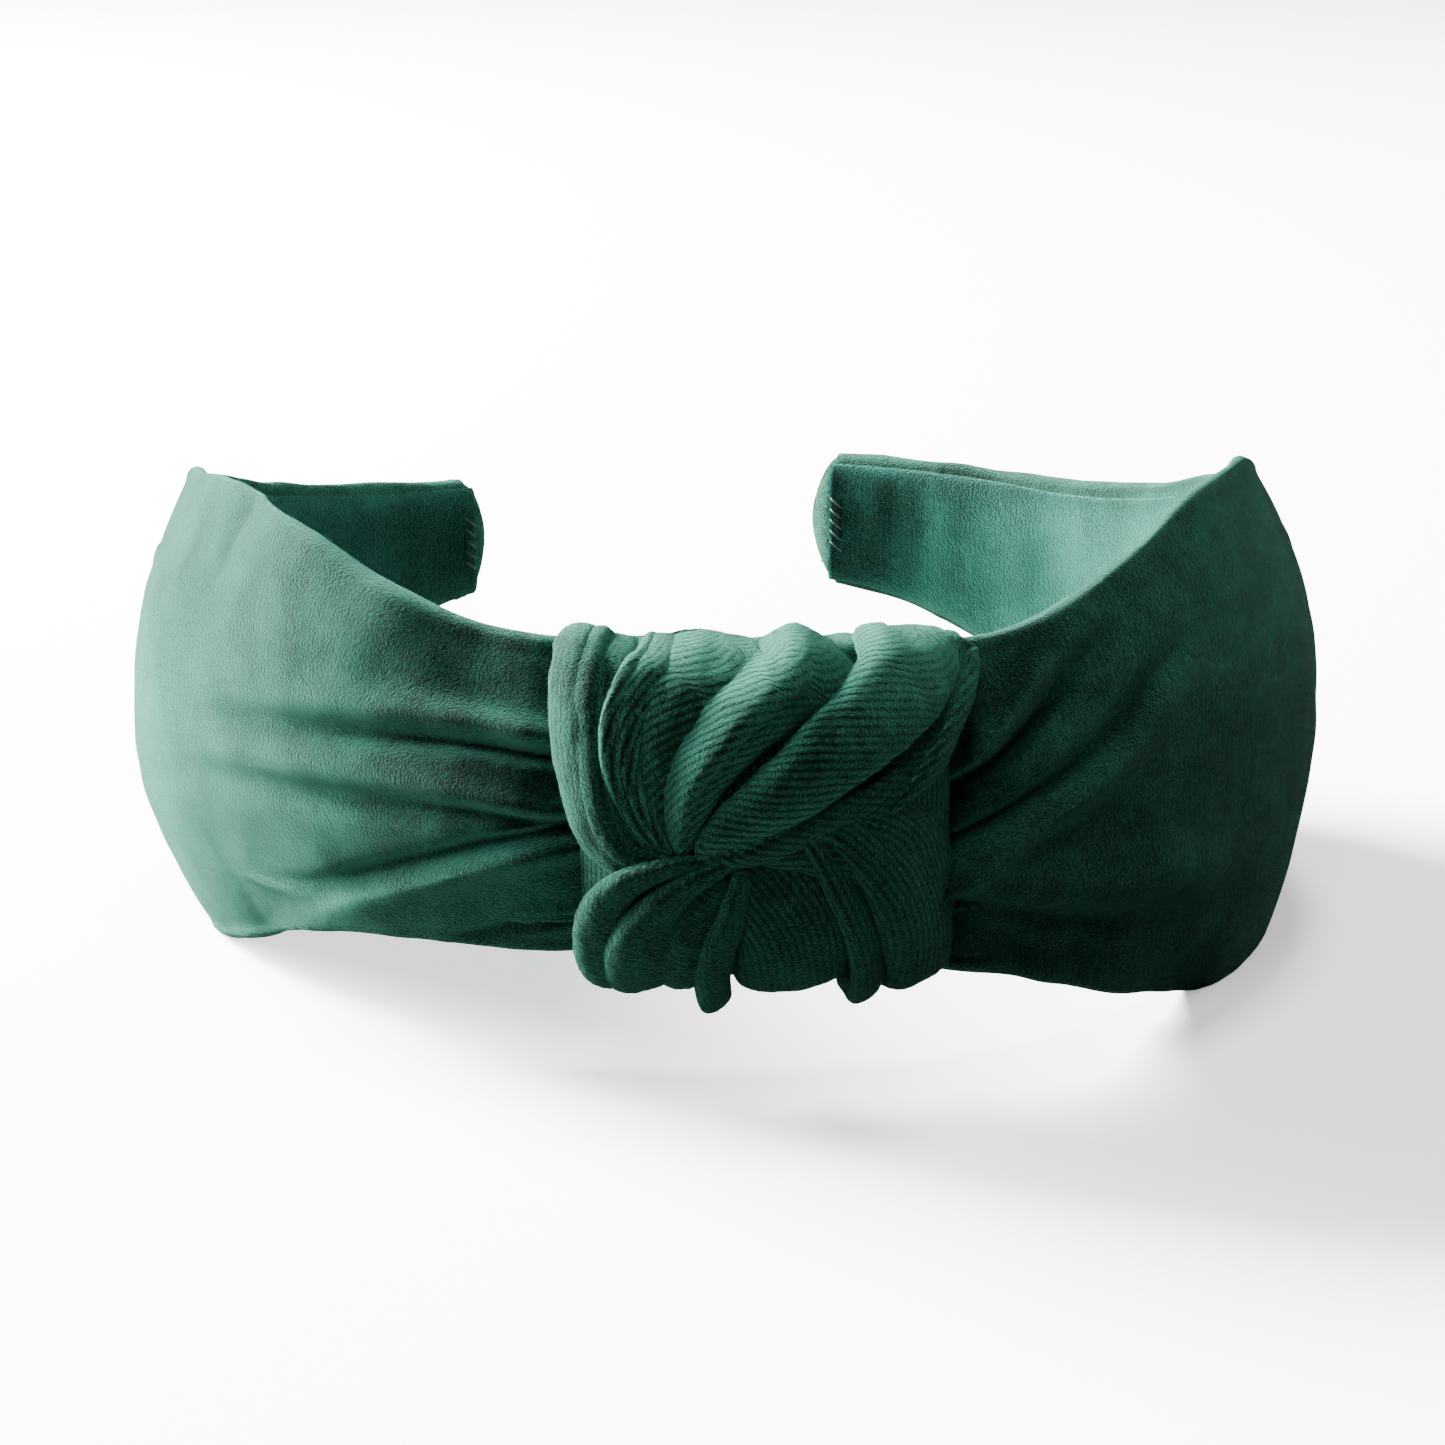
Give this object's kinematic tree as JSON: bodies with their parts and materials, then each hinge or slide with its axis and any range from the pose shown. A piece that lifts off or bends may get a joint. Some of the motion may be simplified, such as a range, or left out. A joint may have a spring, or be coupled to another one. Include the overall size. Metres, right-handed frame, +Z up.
{
  "type": "knotted headband",
  "caption": "Hard C-shaped headband with a padded velvet cover that widens at the sides, narrows to rounded tips and is gathered into a twisted knot at the front.",
  "frame": {"origin": "on the surface that the band lies on, below the middle of its box", "axes": "+Z up, square to the plane of the band's C; the knot faces -Y, the tips face +Y, and +X is to the right of someone looking at the knot"},
  "size_m": [0.15, 0.153, 0.0614],
  "materials": {
    "velvet": "dark green ribbed stretch velvet, bright where the pile is seen edge on",
    "velvet_lining": "the same velvet, lying flat",
    "core_plastic": "satin black moulded plastic",
    "padding_foam": "off-white open-cell foam",
    "thread": "dark green polyester sewing thread"
  },
  "bodies": {
    "crown": {"core_crown": "core_plastic", "foam_crown": "padding_foam", "lining_crown": "velvet_lining", "knot_wrap": "velvet", "knot_fan": "velvet", "knot_collar": "velvet", "knot_lower_lobe": "velvet", "knot_rolled_fold": "velvet", "knot_skirt": "velvet", "knot_tack_thread": "thread"},
    "arm_left": {"core_left": "core_plastic", "foam_left": "padding_foam", "velvet_panel_left": "velvet", "lining_left": "velvet_lining", "tip_fold_left": "velvet", "tip_thread_left": "thread"},
    "arm_right": {"core_right": "core_plastic", "foam_right": "padding_foam", "velvet_panel_right": "velvet", "lining_right": "velvet_lining", "tip_fold_right": "velvet", "tip_thread_right": "thread"}
  },
  "joints": [
    {"name": "left_arm_flex", "type": "hinge", "parent": "crown", "child": "arm_left", "pos_m": [-0.02865, -0.05451, 0.0324], "axis": [0, 0, 1], "range_deg": [-4, 16], "stiffness_Nm_per_rad": 0.8},
    {"name": "right_arm_flex", "type": "hinge", "parent": "crown", "child": "arm_right", "pos_m": [0.02119, -0.05738, 0.0324], "axis": [0, 0, -1], "range_deg": [-4, 16], "stiffness_Nm_per_rad": 0.8}
  ]
}
